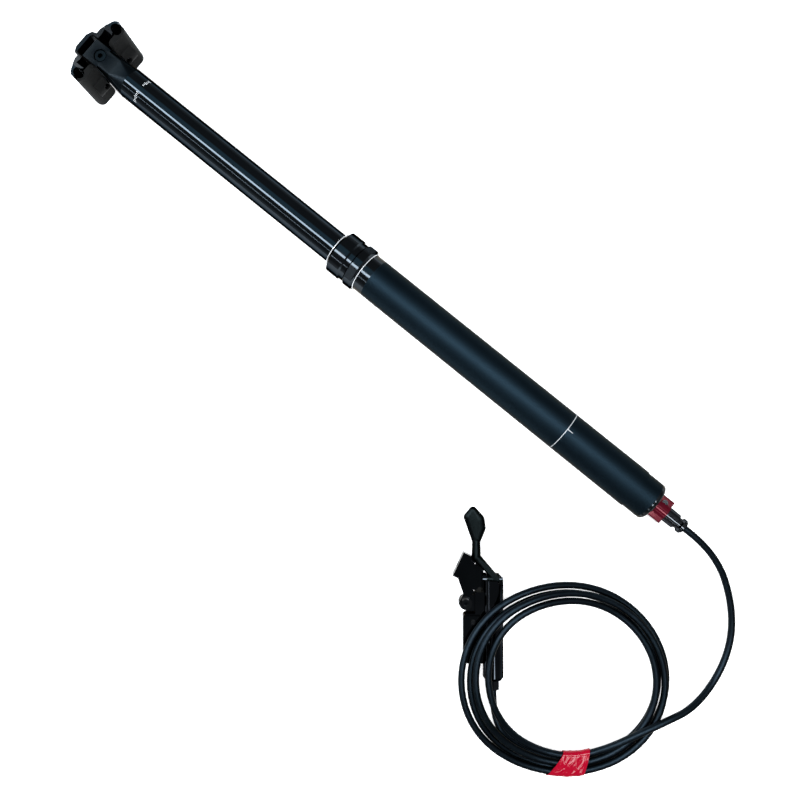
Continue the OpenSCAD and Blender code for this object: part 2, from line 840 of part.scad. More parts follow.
// Remote body: cylinder barrel, reservoir beside it, ledge for the bracket and a fork for the lever
module remote_body() {
    corner = tank_round;
    tap_d = bracket_bolt_d * 0.6;
    color("#121418") difference() {
        union() {
            on_barrel() {
                bar_x(-remote_len, -2 * over, remote_r);
                taper_x(-2 * over, 0, remote_r, remote_r - port_bevel);
            }
            in_remote() {
                hull() for (x = [tank_x - corner, tank_x - tank_len + corner], y = [tank_y + corner, -corner])
                    translate([x, y, 0]) cylinder(h = tank_h, r = corner, $fn = blend_fn);
                translate([-remote_len, ledge_y, 0])
                    cube([remote_len + tank_x - tank_len + corner, -ledge_y, tank_h]);
                linear_extrude(lug_top) lug_plan(bolt_lug_r);
                translate([bolt_x, bolt_y, 0])
                    cube([bolt_room + corner, ledge_y - bolt_y + over, lug_top - web_drop]);
                translate([arm_end - over, bolt_y, 0])
                    cube([bolt_x - arm_end + over, ledge_y - bolt_y + over, plate_t]);
                translate([pivot_x - toe_fore, -remote_r - toe_out, 0])
                    cube([toe_fore - plate_fore + over, toe_out - toe_in, plate_t]);
                translate([pivot_x - plate_fore, -remote_r - plate_out, 0])
                    cube([plate_fore + pivot_fore, plate_out + over, plate_t]);
                for (side = [-1, 1]) translate([pivot_x, side > 0 ? ear_in : -remote_r, 0]) {
                    translate([0, 0, pivot_h]) bar_y(0, remote_r - ear_in, ear_r);
                    cube([pivot_fore + over, remote_r - ear_in, pivot_h + ear_r]);
                }
            }
            intersection() {
                on_barrel() bar_x(-remote_len - guard_fore, -remote_len + over, remote_r);
                in_remote() translate([0, 0, nose_h + nose_r + air]) linear_extrude(remote_d) polygon([
                    [-remote_len - guard_fore, -remote_r], [-remote_len - guard_fore, ear_in / 2],
                    [-remote_len - guard_fore + remote_r - ear_in / 2, remote_r],
                    [-remote_len + over, remote_r], [-remote_len + over, -remote_r]
                ]);
            }
        }
        on_barrel() bar_x(-remote_len - over, -bore_end, remote_bore_r);
        on_barrel() bar_x(-port_end_depth, over, rod_bore_d / 2);
        in_remote() translate([pivot_x, 0, pivot_h]) bar_y(-remote_d, remote_d, pivot_d / 2 + fit);
        at_bracket_bolt(lug_top - tap_depth) cylinder(h = tap_depth + over, d = tap_d + 2 * fit);
        in_remote() translate([pivot_x - ear_r, remote_r, remote_r]) rotate([0, 0, 45])
            cube([ear_bevel * sqrt(2), ear_bevel * sqrt(2), 2 * remote_d], center = true);
        at_cover_screws() translate([0, 0, -cover_tap])
            cylinder(h = cover_tap + over, d = cover_screw_d * 0.6 + 2 * fit);
    }
}

// Paddle's leaf as [share of its length, share of its width, radius as share of its width, rise]
LEAF = [
    [0, 0, 0.18, 0.6], [0.4, 0.12, 0.3, 0.9], [0.62, 0.06, 0.31, 1.2],
    [0.7, -0.34, 0.22, 1.2], [0.9, -0.15, 0.17, 1.4]
];

// The lever's arm and stem seen from above
module lever_plan() {
    hull() {
        translate([pivot_x - hub_r - root_r, root_r - hub_w / 2]) circle(r = root_r, $fn = blend_fn);
        translate([pivot_x - root_r / 2, hub_w / 2 - root_r]) circle(r = root_r, $fn = blend_fn);
        translate(elbow) circle(d = stem_d, $fn = blend_fn);
    }
    hull() {
        translate(elbow) circle(d = stem_d, $fn = blend_fn);
        translate([paddle_x, elbow.y]) circle(d = stem_d, $fn = blend_fn);
    }
}

// Lever: hub with a cam nose, slanted arm, stem and thumb paddle
module remote_lever() {
    color("#0b0c0f") in_remote() difference() {
        union() {
            translate([pivot_x, 0, pivot_h]) bar_y(-hub_w / 2, hub_w / 2, hub_r);
            translate([nose_x, 0, nose_h]) bar_y(-hub_w / 3, hub_w / 3, nose_r);
            hull() {
                translate([pivot_x - hub_r - root_r, root_r - hub_w / 2, lever_z - stem_d / 2])
                    cylinder(h = stem_d, r = root_r, $fn = blend_fn);
                translate([pivot_x - root_r / 2, hub_w / 2 - root_r, lever_z - stem_d / 2])
                    cylinder(h = stem_d, r = root_r, $fn = blend_fn);
                translate([elbow.x, elbow.y, lever_z]) sphere(d = stem_d, $fn = blend_fn);
            }
            hull() {
                translate([elbow.x, elbow.y, lever_z]) sphere(d = stem_d, $fn = blend_fn);
                translate([paddle_x, elbow.y, lever_z]) sphere(d = stem_d * 0.9, $fn = blend_fn);
            }
            hull() for (leaf = LEAF) {
                r = leaf[2] * paddle_w;
                translate([paddle_x - leaf[0] * paddle_len, elbow.y + leaf[1] * paddle_w, lever_z + leaf[3]])
                    scale([1, 1, paddle_t / 2 / r]) sphere(r = r, $fn = blend_fn);
            }
        }
        translate([pivot_x, 0, pivot_h]) bar_y(-hub_w, hub_w, pivot_d / 2 + fit);
    }
}

// Pin in the fork that the lever turns on
module pivot_pin() {
    color("#b9bcc2") in_remote() translate([pivot_x, 0, pivot_h]) bar_y(-remote_r, remote_r, pivot_d / 2);
}

// Piston in the remote's barrel, pushed by the cam nose
master_x = -remote_len + 4;
master_len = 20;
module master_piston() {
    end = master_x + master_len;
    color("#b9bcc2") on_barrel() difference() {
        union() {
            bar_x(push_x, master_x + over, remote_bore_r / 2);
            bar_x(master_x, end, remote_bore_r - fit);
        }
        tube_x(end - 2 * seal_w - fit, end - seal_w + fit, remote_bore, remote_bore_r - over);
    }
}

// Cup seal round the remote's piston
module piston_cup() {
    end = master_x + master_len;
    color("#202020") on_barrel()
        tube_x(end - 2 * seal_w, end - seal_w, remote_bore_r - fit, remote_bore_r - over + fit);
}

// Places its children at the two screws of the reservoir's cover
module at_cover_screws() {
    for (share = [0.16, 0.84]) in_remote()
        translate([tank_x - share * tank_len, (tank_y - remote_r) / 2, tank_h]) children();
}

// Cover of the reservoir
module reservoir_cover() {
    corner = tank_round - cover_edge / 2;
    edge = cover_edge;
    color("#1d2024") difference() {
        in_remote() hull()
            for (x = [tank_x - edge - corner, tank_x - tank_len + edge + corner])
                for (y = [tank_y + edge + corner, -remote_r - corner])
                    translate([x, y, tank_h]) cylinder(h = cover_t, r = corner, $fn = blend_fn);
        at_cover_screws() translate([0, 0, -over]) cylinder(h = 4 * over, d = cover_screw_d * 0.6 + 2 * fit);
    }
}

// Depth of the cover's screws in the body
screw_in = 3;

// Two small screws that hold the reservoir's cover, the front one the bleed screw
module cover_screws() {
    color("#8d9096") at_cover_screws() difference() {
        union() {
            translate([0, 0, -screw_in]) cylinder(h = cover_t + screw_in, d = cover_screw_d * 0.6);
            translate([0, 0, cover_t]) cylinder(h = over, d = cover_screw_d);
        }
        translate([0, 0, cover_t + over / 2]) cylinder(h = over, d = cover_screw_d / 2, $fn = 6);
    }
}

// Pad of the bracket, turned to face the bar's clamp
pad_turn = -25;
// Middle of the pad's face, beyond the lever's pin and out from the barrel's axis
pad_reach = 11.6;
pad_out = 26.2;
pad_at = [pivot_x - pad_reach, -pad_out];
foot_t = 3.2;
washer_t = 0.8;
// Height of the bracket over the table, and its gap to the lever and to the fork
bracket_z = 1;
lever_gap = 1;
// Guard plate of the body under the bracket's edge: its reach before the lever's pin,
// its reach out from the barrel, and its thickness
plate_fore = 12;
plate_out = 5;
plate_t = bracket_z - air;
// Toe of the guard plate under the lever's elbow: its reach before the pin, and out from the barrel
toe_fore = 16.5;
toe_in = 2.4;
toe_out = 10.4;
// Height of the bracket's step under the lever's swing
step_h = 7;
// End of the bracket's thick arm in front of its bolt
arm_end = bolt_x - bolt_lug_r - lever_gap;

// Places its children on the pad: X along its face, Y into it
module on_pad() {
    translate(pad_at) rotate([0, 0, pad_turn]) children();
}

// The bracket's thick arm seen from above, between the pad, its foot and the fork
module bracket_plan() {
    fork_x = pivot_x - ear_r - lever_gap;
    difference() {
        hull() {
            translate([arm_end - over, bolt_y - foot_t / 2]) square([over, ledge_y - bolt_y]);
            on_pad() translate([-pad_len / 2 + over, pad_t / 2])
                square([pad_len - 2 * over, pad_t / 2 - air]);
            translate([fork_x, -remote_r - lever_gap - over]) square([pivot_fore, over]);
        }
        offset(delta = lever_gap) lever_plan();
        translate([fork_x, -remote_r - lever_gap]) square([remote_len, remote_d]);
        translate([-remote_len - lever_gap, ledge_y - lever_gap]) square([remote_len, -ledge_y]);
    }
}

// Bracket: foot under its bolt, a thick arm and a flat pad with a threaded hole
module bar_bracket() {
    hole_d = bracket_bolt_d * 0.6 + 2 * fit;
    color("#22252a") difference() {
        in_remote() {
            translate([0, 0, bracket_z]) linear_extrude(step_h) bracket_plan();
            translate([0, 0, bracket_z]) linear_extrude(tank_h) {
                intersection() {
                    bracket_plan();
                    translate([-2 * remote_len, elbow.y - stem_d / 2 - air - remote_len])
                        square([2 * remote_len, remote_len]);
                }
                on_pad() translate([-pad_len / 2, 0]) square([pad_len, pad_t]);
            }
            translate([0, 0, lug_top + washer_t]) linear_extrude(foot_t) hull() {
                translate([bolt_x, bolt_y]) circle(r = bolt_lug_r - air, $fn = blend_fn);
                translate([arm_end - 2 * over, bolt_y - foot_t / 2 + air]) square([over, foot_t]);
            }
        }
        at_bracket_bolt(lug_top) cylinder(h = tank_h, d = hole_d);
        in_remote() translate([0, 0, bracket_z + tank_h / 2]) on_pad()
            bar_y(-over, pad_t * 0.8, pad_hole_d / 2);
    }
}

// Bolt that holds the bracket on the remote's lug
module bracket_bolt() {
    seat = lug_top + 2 * washer_t + foot_t;
    head_t = bracket_bolt_d * 0.45;
    color("#2a2d33") difference() {
        union() {
            at_bracket_bolt(seat) cylinder(h = head_t, d = bracket_bolt_d);
            at_bracket_bolt(lug_top - tap_depth + over)
                cylinder(h = seat - lug_top + tap_depth, d = bracket_bolt_d * 0.6);
        }
        at_bracket_bolt(seat + head_t / 2) cylinder(h = head_t, d = bracket_bolt_d / 2, $fn = 6);
    }
}

// Washers under the bolt's head and under the bracket's foot
module bracket_washers() {
    color("#8d9096") for (z = [lug_top, lug_top + washer_t + foot_t]) at_bracket_bolt(z) difference() {
        cylinder(h = washer_t, r = bracket_bolt_d * 0.66);
        translate([0, 0, -over]) cylinder(h = washer_t + 2 * over, d = bracket_bolt_d * 0.6 + 2 * fit);
    }
}

// Hexagon nut at the remote's port
port_nut_len = 7;
module port_nut() {
    color("#15171a") on_barrel() difference() {
        rotate([0, 90, 0]) cylinder(h = port_nut_len, d = remote_d * 0.62, $fn = 6);
        bar_x(-over, port_nut_len + over, rod_bore_d / 2);
    }
}

// Free stretch of hose from the foot to the coil, over the coil's right side
LEAD = [
    [312, 0, -0.2], [322, -0.5, -1.2], [334, -2.5, -3], [347, -7, -5.6], [359, -14, -8.4],
    [370, -22.5, -11.2], [380, -33, -13.6], [387.5, -45, -15], [392.5, -59, -15.3], [394.5, -74, -14.2],
    [393, -89, -10.4], [388.5, -103, -6.2], [381.5, -116, -3.4], [375, -129.5, -3.2],
    [369, -143.5, -4.8], [363, -157.3, -6.9]
];
// Free stretch of hose from the coil to the remote's port
TAIL = [[293.7, -199.9, -7.1], [288.4, -197.3, -7.6], [283.5, -193.6, -8.8], [279.2, -189.5, -9.9]];

// Centre of the coil, how it is drawn out each way, and the angle where it starts
coil_at = [308.4, -141];
coil_wide = 1.06;
coil_tall = 0.95;
coil_start = 75;
// Turns of the coil in all, and the half turn where it goes down a layer
coil_turns = 4 + 55 / 360;
climb = 0.5;
// Turns of the upper layer
upper_turns = 2;
// How far the loops swing out while they go down, and their height over the table
swing = 2;
// How far a loop lies inside the next one where they fan out, and the angle of that place
fan = 3;
fan_at = 165;
coil_h = hose_r + 0.6;
// Angles where the loops rise over the remote, lie on it and come down again
rise_from = 100;
rise_to = 172;
fall_from = 240;
fall_to = 312;
lift = remote_d + hose_r + 0.4 - coil_h;
coil_rings = 24;
tube_sides = 10;
coil_sides = 6;

right = [-sin(lay_angle), cos(lay_angle), 0];
down = [cos(lay_angle), sin(lay_angle), 0];

function unit(v) = v / norm(v);
function ease(u) = let (c = max(0, min(1, u))) c * c * (3 - 2 * c);
function lift_at(a) = lift * (
    ease((a - rise_from) / (rise_to - rise_from)) - ease((a - fall_from) / (fall_to - fall_from))
);
function loop_at(t) = t < upper_turns + climb ? t : 2 * (upper_turns + climb) - t;
function fan_out(t, a) = fan * pow(max(0, cos(a - fan_at)), 2) * max(0, upper_turns - loop_at(t));
function swing_out(t) = t > upper_turns && t < upper_turns + climb
    ? swing * sin(180 * (t - upper_turns) / climb) : 0;
function coil_radius(t, a) = coil_r + loop_pitch * loop_at(t) - fan_out(t, a) + swing_out(t);
function coil_point(t) = let (a = coil_start + 360 * t, r = coil_radius(t, a))
    [coil_at.x, coil_at.y, floor_z]
    + right * coil_wide * r * cos(a) + down * coil_tall * r * sin(a)
    + [0, 0, coil_h + layer_h * (1 - ease((t - upper_turns) / climb)) + lift_at(a % 360)];
function coil_way(t) = unit(coil_point(t + 0.01) - coil_point(t - 0.01));

coil_first = coil_point(0) - hose_d * coil_way(0);
coil_last = coil_point(coil_turns) + hose_d * coil_way(coil_turns);
coil_path = [
    coil_first,
    each [for (i = [0 : round(coil_turns * coil_rings)]) coil_point(i / coil_rings)],
    coil_point(coil_turns),
    coil_last
];
port_end = [port_at.x, port_at.y, floor_z + remote_r] + down * port_nut_len;
lead_path = [[hose_x, 0, 0], each LEAD, coil_first];
tail_path = [coil_last, each TAIL, port_end + down * hose_d, port_end];

// Least gap between loops that lie beside or on each other, measured on the path's points
coil_gap = min([
    for (i = [0 : len(coil_path) - 1], j = [i + coil_rings / 2 : len(coil_path) - 1])
        norm(coil_path[i] - coil_path[j])
]) - hose_d;
function path_length(path) = len(path) < 2 ? 0 :
    [for (
        i = 0, sum = 0; i < len(path);
        i = i + 1, sum = sum + (i < len(path) ? norm(path[i] - path[i - 1]) : 0)
    ) sum][len(path) - 1];
union() {
    echo(least_gap_of_the_coil_to_itself = coil_gap);
    echo(length_of_the_hose = path_length(lead_path) + path_length(coil_path) + path_length(tail_path));
}

// One closed tube along a path, with a flat at its underside
module swept_tube(path, r, sides, first_way, last_way) {
    last = len(path) - 1;
    points = [
        for (i = [0 : last])
            let (
                way = i == 0 ? first_way : i == last ? last_way : unit(path[i + 1] - path[i - 1]),
                side = unit(cross(way, [0, 0, 1])),
                up = cross(side, way)
            )
            for (k = [0 : sides - 1])
                let (a = 360 * (k + 0.5) / sides - 90)
                path[i] + r * (cos(a) * side + sin(a) * up)
    ];
    walls = [
        for (i = [0 : last - 1], k = [0 : sides - 1])
            let (a = i * sides + k, b = i * sides + (k + 1) % sides)
            each [[a, b + sides, a + sides], [a, b, b + sides]]
    ];
    caps = [
        for (k = [1 : sides - 2])
            each [[0, k + 1, k], [last * sides, last * sides + k, last * sides + k + 1]]
    ];
    polyhedron(points = points, faces = concat(walls, caps), convexity = 10);
}

// Hose from the foot's nut to the coil
module hose_lead() {
    color("#14161a") swept_tube(lead_path, hose_r, tube_sides, [1, 0, 0], coil_way(0));
}

// Coil of hose: two layers of loops, with a long low hump over the remote
module hose_coil() {
    color("#14161a") swept_tube(coil_path, hose_r, coil_sides, coil_way(0), coil_way(coil_turns));
}

// Hose from the coil to the remote's port
module hose_tail() {
    color("#14161a") swept_tube(tail_path, hose_r, tube_sides, coil_way(coil_turns), -down);
}

// Tag wrapped askew round the loops, opposite the remote's lever
tag_in = coil_tall * (coil_r - hose_r) - 5;
tag_out = coil_tall * (coil_r + (upper_turns + 0.2) * loop_pitch + hose_r) + 3.6;
tag_mid = 2;
tag_skew = 16;
module hose_tag() {
    top = coil_h + layer_h + hose_r + air;
    wide = tag_out - tag_in;
    askew = [[1, 0, 0, 0], [-tag_skew / wide, 1, 0, tag_skew / 2], [0, 0, 1, 0], [0, 0, 0, 1]];
    color("#c2122e") translate([coil_at.x, coil_at.y, floor_z]) rotate([0, 0, lay_angle])
        translate([tag_in, tag_mid - tag_len / 2, 0]) multmatrix(askew) difference() {
            translate([-tag_t, 0, 0]) cube([wide + 2 * tag_t, tag_len, top + tag_t]);
            translate([0, -over, tag_t]) cube([wide, tag_len + 2 * over, top - tag_t]);
        }
}

lower_tube();
lock_collar();
collar_cap();
dust_wiper();
foam_ring();
upper_bushing();
topout_bumper();
piston_rod();
main_piston();
piston_seal();
bottomout_bumper();
foot_cap();
foot_oring();
coupling_ring();
coupling_screw();
coupling_sleeve();
hose_nut();
stanchion();
head_tongue();
guide_keys();
lower_bush();
seal_head();
rod_seal();
air_valve();
lock_bolt();
lock_shoe();
floating_piston();
floating_seal();
poppet();
tilt_barrel();
cradle_left();
cradle_right();
yoke();
yoke_bolts();
remote_body();
remote_lever();
pivot_pin();
master_piston();
piston_cup();
reservoir_cover();
cover_screws();
bar_bracket();
bracket_bolt();
bracket_washers();
port_nut();
hose_lead();
hose_coil();
hose_tail();
hose_tag();
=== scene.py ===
import json
import math

import bmesh
import bpy
from mathutils import Matrix, Vector


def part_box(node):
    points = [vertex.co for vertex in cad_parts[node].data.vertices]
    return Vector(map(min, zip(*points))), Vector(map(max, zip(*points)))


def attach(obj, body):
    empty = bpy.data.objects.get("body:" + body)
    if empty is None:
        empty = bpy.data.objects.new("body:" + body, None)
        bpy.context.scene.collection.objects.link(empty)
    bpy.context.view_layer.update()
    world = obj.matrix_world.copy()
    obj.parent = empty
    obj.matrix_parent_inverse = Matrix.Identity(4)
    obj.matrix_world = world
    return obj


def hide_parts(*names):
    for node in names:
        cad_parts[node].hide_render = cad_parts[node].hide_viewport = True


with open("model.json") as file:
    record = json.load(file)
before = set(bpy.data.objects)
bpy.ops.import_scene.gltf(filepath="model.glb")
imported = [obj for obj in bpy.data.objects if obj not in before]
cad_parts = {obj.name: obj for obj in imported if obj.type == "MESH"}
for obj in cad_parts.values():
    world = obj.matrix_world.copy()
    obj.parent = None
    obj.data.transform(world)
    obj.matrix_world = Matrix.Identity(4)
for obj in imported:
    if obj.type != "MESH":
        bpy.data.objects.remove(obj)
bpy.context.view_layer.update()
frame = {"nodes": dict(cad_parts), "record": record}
NODES = frame["nodes"]
MM = 0.001

scene = bpy.context.scene
scene.view_settings.view_transform = "Standard"


# Camera: place in millimetres, and the ways that the picture's right and lower sides point

CAMERA_AT = Vector((127.2, -80.4, 550.2))
CAMERA_RIGHT = Vector((0.7715, 0.6352, -0.0382))
CAMERA_DOWN = Vector((0.6312, -0.7715, -0.0805))
SENSOR = 36.0
LENS = 32.85
CLIP = (0.01, 200.0)


def make_camera():
    back = CAMERA_RIGHT.cross(-CAMERA_DOWN).normalized()
    up = back.cross(CAMERA_RIGHT).normalized()
    data = bpy.data.cameras.new("camera")
    data.sensor_width = SENSOR
    data.lens = LENS
    data.clip_start, data.clip_end = CLIP
    cam = bpy.data.objects.new("camera", data)
    scene.collection.objects.link(cam)
    m = Matrix((CAMERA_RIGHT.normalized(), up, back)).transposed().to_4x4()
    m.translation = CAMERA_AT * MM
    cam.matrix_world = m
    scene.camera = cam


make_camera()


# Mesh helpers

def mesh_object(name, bm, smooth=True):
    me = bpy.data.meshes.new(name)
    bmesh.ops.recalc_face_normals(bm, faces=bm.faces)
    bm.to_mesh(me)
    bm.free()
    for p in me.polygons:
        p.use_smooth = smooth
    ob = bpy.data.objects.new(name, me)
    scene.collection.objects.link(ob)
    return ob


def loft(bm, rings, closed=False, caps=True):
    """Faces from each ring of points to the next one, with flat ends or closed on itself."""
    loops = [[bm.verts.new(p) for p in ring] for ring in rings]
    n = len(loops[0])
    last = len(loops) if closed else len(loops) - 1
    for i in range(last):
        a, b = loops[i], loops[(i + 1) % len(loops)]
        for k in range(n):
            bm.faces.new((a[k], a[(k + 1) % n], b[(k + 1) % n], b[k]))
    if caps and not closed:
        bm.faces.new(list(reversed(loops[0])))
        bm.faces.new(loops[-1])


def polar(x, r, angle):
    """A point round the post's axis, from millimetres and radians."""
    return Vector((x, r * math.cos(angle), r * math.sin(angle))) * MM


def turned(name, outline, sides):
    """A closed solid of revolution about X, from [x, r] in millimetres."""
    bm = bmesh.new()
    angles = [2 * math.pi * k / sides for k in range(sides)]
    loft(bm, [[polar(x, r, a) for a in angles] for x, r in outline], closed=True)
    return mesh_object(name, bm)


def auto_smooth(ob, angle):
    for p in ob.data.polygons:
        p.use_smooth = True
    mod = ob.modifiers.new("edges", "EDGE_SPLIT")
    mod.split_angle = math.radians(angle)
    mod.use_edge_sharp = True


# Materials

NOISE_LOW, NOISE_HIGH = 0.3, 0.7
DRIFT_SCALE, DRIFT_DETAIL = 24.0, 5.0
FINE_DETAIL, FINE_ROUGH = 3.0, 0.7
DRIFT_SHARE, FINE_SHARE = 0.4, 0.6
LEAST_ROUGH = 0.02
GRAIN_DEPTH = 0.0002
EDGE_FROM, EDGE_TO = 0.52, 0.76
RIM_TINT = (1.0, 0.95, 0.88)


def principled(name):
    mat = bpy.data.materials.new(name)
    mat.use_nodes = True
    nt = mat.node_tree
    bsdf = next(n for n in nt.nodes if n.type == "BSDF_PRINCIPLED")
    return mat, nt, bsdf


def noise(nt, coords, scale, detail, rough=0.6, stretch=None):
    n = nt.nodes.new("ShaderNodeTexNoise")
    n.inputs["Scale"].default_value = scale
    n.inputs["Detail"].default_value = detail
    n.inputs["Roughness"].default_value = rough
    if stretch:
        m = nt.nodes.new("ShaderNodeMapping")
        m.inputs["Scale"].default_value = stretch
        nt.links.new(coords, m.inputs["Vector"])
        nt.links.new(m.outputs["Vector"], n.inputs["Vector"])
    else:
        nt.links.new(coords, n.inputs["Vector"])
    return n.outputs[0]


def ramp(nt, fac, stops):
    r = nt.nodes.new("ShaderNodeValToRGB")
    for e, (pos, col) in zip(r.color_ramp.elements, stops):
        e.position = pos
        e.color = (*col, 1.0)
    nt.links.new(fac, r.inputs["Fac"])
    return r.outputs["Color"]


def span(nt, fac, lo, hi, a, b):
    m = nt.nodes.new("ShaderNodeMapRange")
    m.inputs["From Min"].default_value = lo
    m.inputs["From Max"].default_value = hi
    m.inputs["To Min"].default_value = a
    m.inputs["To Max"].default_value = b
    nt.links.new(fac, m.inputs["Value"])
    return m.outputs["Result"]


def maths(nt, kind, a, b):
    """A math node on a socket and a second socket or number."""
    m = nt.nodes.new("ShaderNodeMath")
    m.operation = kind
    nt.links.new(a, m.inputs[0])
    if isinstance(b, (int, float)):
        m.inputs[1].default_value = b
    else:
        nt.links.new(b, m.inputs[1])
    return m.outputs[0]


def bump(nt, bsdf, height, strength, distance):
    b = nt.nodes.new("ShaderNodeBump")
    b.inputs["Strength"].default_value = strength
    b.inputs["Distance"].default_value = distance
    nt.links.new(height, b.inputs["Height"])
    nt.links.new(b.outputs["Normal"], bsdf.inputs["Normal"])


def edge_wear(nt):
    """A mask that is 1 on sharp convex edges, from the surface's pointiness."""
    g = nt.nodes.new("ShaderNodeNewGeometry")
    return span(nt, g.outputs["Pointiness"], EDGE_FROM, EDGE_TO, 0.0, 1.0)


def mix_colour(nt, fac, base, other):
    """A socket's colour, turned into another colour where the mask is 1."""
    m = nt.nodes.new("ShaderNodeMix")
    m.data_type = "RGBA"
    nt.links.new(fac, m.inputs[0])
    nt.links.new(base, m.inputs[6])
    m.inputs[7].default_value = (*other, 1.0)
    return m.outputs[2]


def zoned(nt, coords, value, low, high, radius, inside):
    """The value with another one inside a zone, and the zone's mask.

    The zone lies between two places along the post's axis and within a radius of it, in millimetres.
    """
    cut = nt.nodes.new("ShaderNodeSeparateXYZ")
    nt.links.new(coords, cut.inputs[0])
    flat = nt.nodes.new("ShaderNodeCombineXYZ")
    nt.links.new(cut.outputs[1], flat.inputs[1])
    nt.links.new(cut.outputs[2], flat.inputs[2])
    far = nt.nodes.new("ShaderNodeVectorMath")
    far.operation = "LENGTH"
    nt.links.new(flat.outputs[0], far.inputs[0])
    mask = maths(nt, "GREATER_THAN", cut.outputs[0], low * MM)
    mask = maths(nt, "MULTIPLY", mask, maths(nt, "LESS_THAN", cut.outputs[0], high * MM))
    mask = maths(nt, "MULTIPLY", mask, maths(nt, "LESS_THAN", far.outputs["Value"], radius * MM))
    mix = nt.nodes.new("ShaderNodeMix")
    mix.data_type = "FLOAT"
    nt.links.new(mask, mix.inputs[0])
    nt.links.new(value, mix.inputs[2])
    mix.inputs[3].default_value = inside
    return mix.outputs[0], mask


def coated(name, colour, rough, spread, grain, grain_bump, metallic=0.0, spec=0.5, wear=None, streak=None,
           tint=0.25, rim=None, zone=None):
    """Anodised, painted or moulded surface: fine grain, faint drift of colour and roughness, and edges
    lightened in colour, as wear and as painted highlight.

    A zone is low, high, radius and roughness, and may end with a colour.
    """
    mat, nt, bsdf = principled(name)
    tc = nt.nodes.new("ShaderNodeTexCoord").outputs["Object"]
    drift = noise(nt, tc, DRIFT_SCALE, DRIFT_DETAIL)
    fine = noise(nt, tc, grain, FINE_DETAIL, FINE_ROUGH, streak)
    dark = tuple(c * (1 - tint) for c in colour)
    light = tuple(min(1.0, c * (1 + tint)) for c in colour)
    col = ramp(nt, drift, [(NOISE_LOW, dark), (NOISE_HIGH, light)])
    # Edges lightened in colour: wear on some parts, a painted highlight of bright edge lines on the head and
    # the yoke
    if wear:
        col = mix_colour(nt, edge_wear(nt), col, wear)
    both = maths(nt, "ADD", span(nt, drift, NOISE_LOW, NOISE_HIGH, -DRIFT_SHARE, DRIFT_SHARE),
                 span(nt, fine, NOISE_LOW, NOISE_HIGH, -FINE_SHARE, FINE_SHARE))
    value = span(nt, both, -1, 1, max(LEAST_ROUGH, rough - spread), rough + spread)
    if zone:
        value, mask = zoned(nt, tc, value, *zone[:4])
        if len(zone) > 4:
            col = mix_colour(nt, mask, col, zone[4])
    nt.links.new(col, bsdf.inputs["Base Color"])
    nt.links.new(value, bsdf.inputs["Roughness"])
    bsdf.inputs["Metallic"].default_value = metallic
    bsdf.inputs["Specular IOR Level"].default_value = spec
    if rim is not None:
        bsdf.inputs["Specular Tint"].default_value = (*(rim * c for c in RIM_TINT), 1)
    bump(nt, bsdf, fine, grain_bump, GRAIN_DEPTH)
    return mat


def metal(name, colour, rough, spread, grain, grain_bump, **more):
    return coated(name, colour, rough, spread, grain, grain_bump, metallic=1.0, **more)


def put(mat, *names):
    for n in names:
        ob = NODES[n] if isinstance(n, str) else n
        ob.data.materials.clear()
        ob.data.materials.append(mat)


GLOSS_BLACK = (0.026, 0.031, 0.036)
FOOT_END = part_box("foot_cap")[1][0] / MM
PAST_TUBE = 60
NECK_ZONE = (-40, 8, PAST_TUBE, 0.1, GLOSS_BLACK)
FOOT_ZONE = (FOOT_END - 3.4, FOOT_END + 1, PAST_TUBE, 0.1, (0.03, 0.034, 0.038))
GROOVE_ZONE = (-9.0, -2.65, 17.93, 0.5)


def post_satin(name, zone):
    return metal(name, (0.0065, 0.0127, 0.0184), 0.5, 0.04, 2600, 0.08, rim=0.52, tint=0.08, zone=zone)


def collar_gloss(name, zone=None):
    return metal(name, GLOSS_BLACK, 0.1, 0.02, 700, 0.01, rim=0.3, tint=0.1, zone=zone)


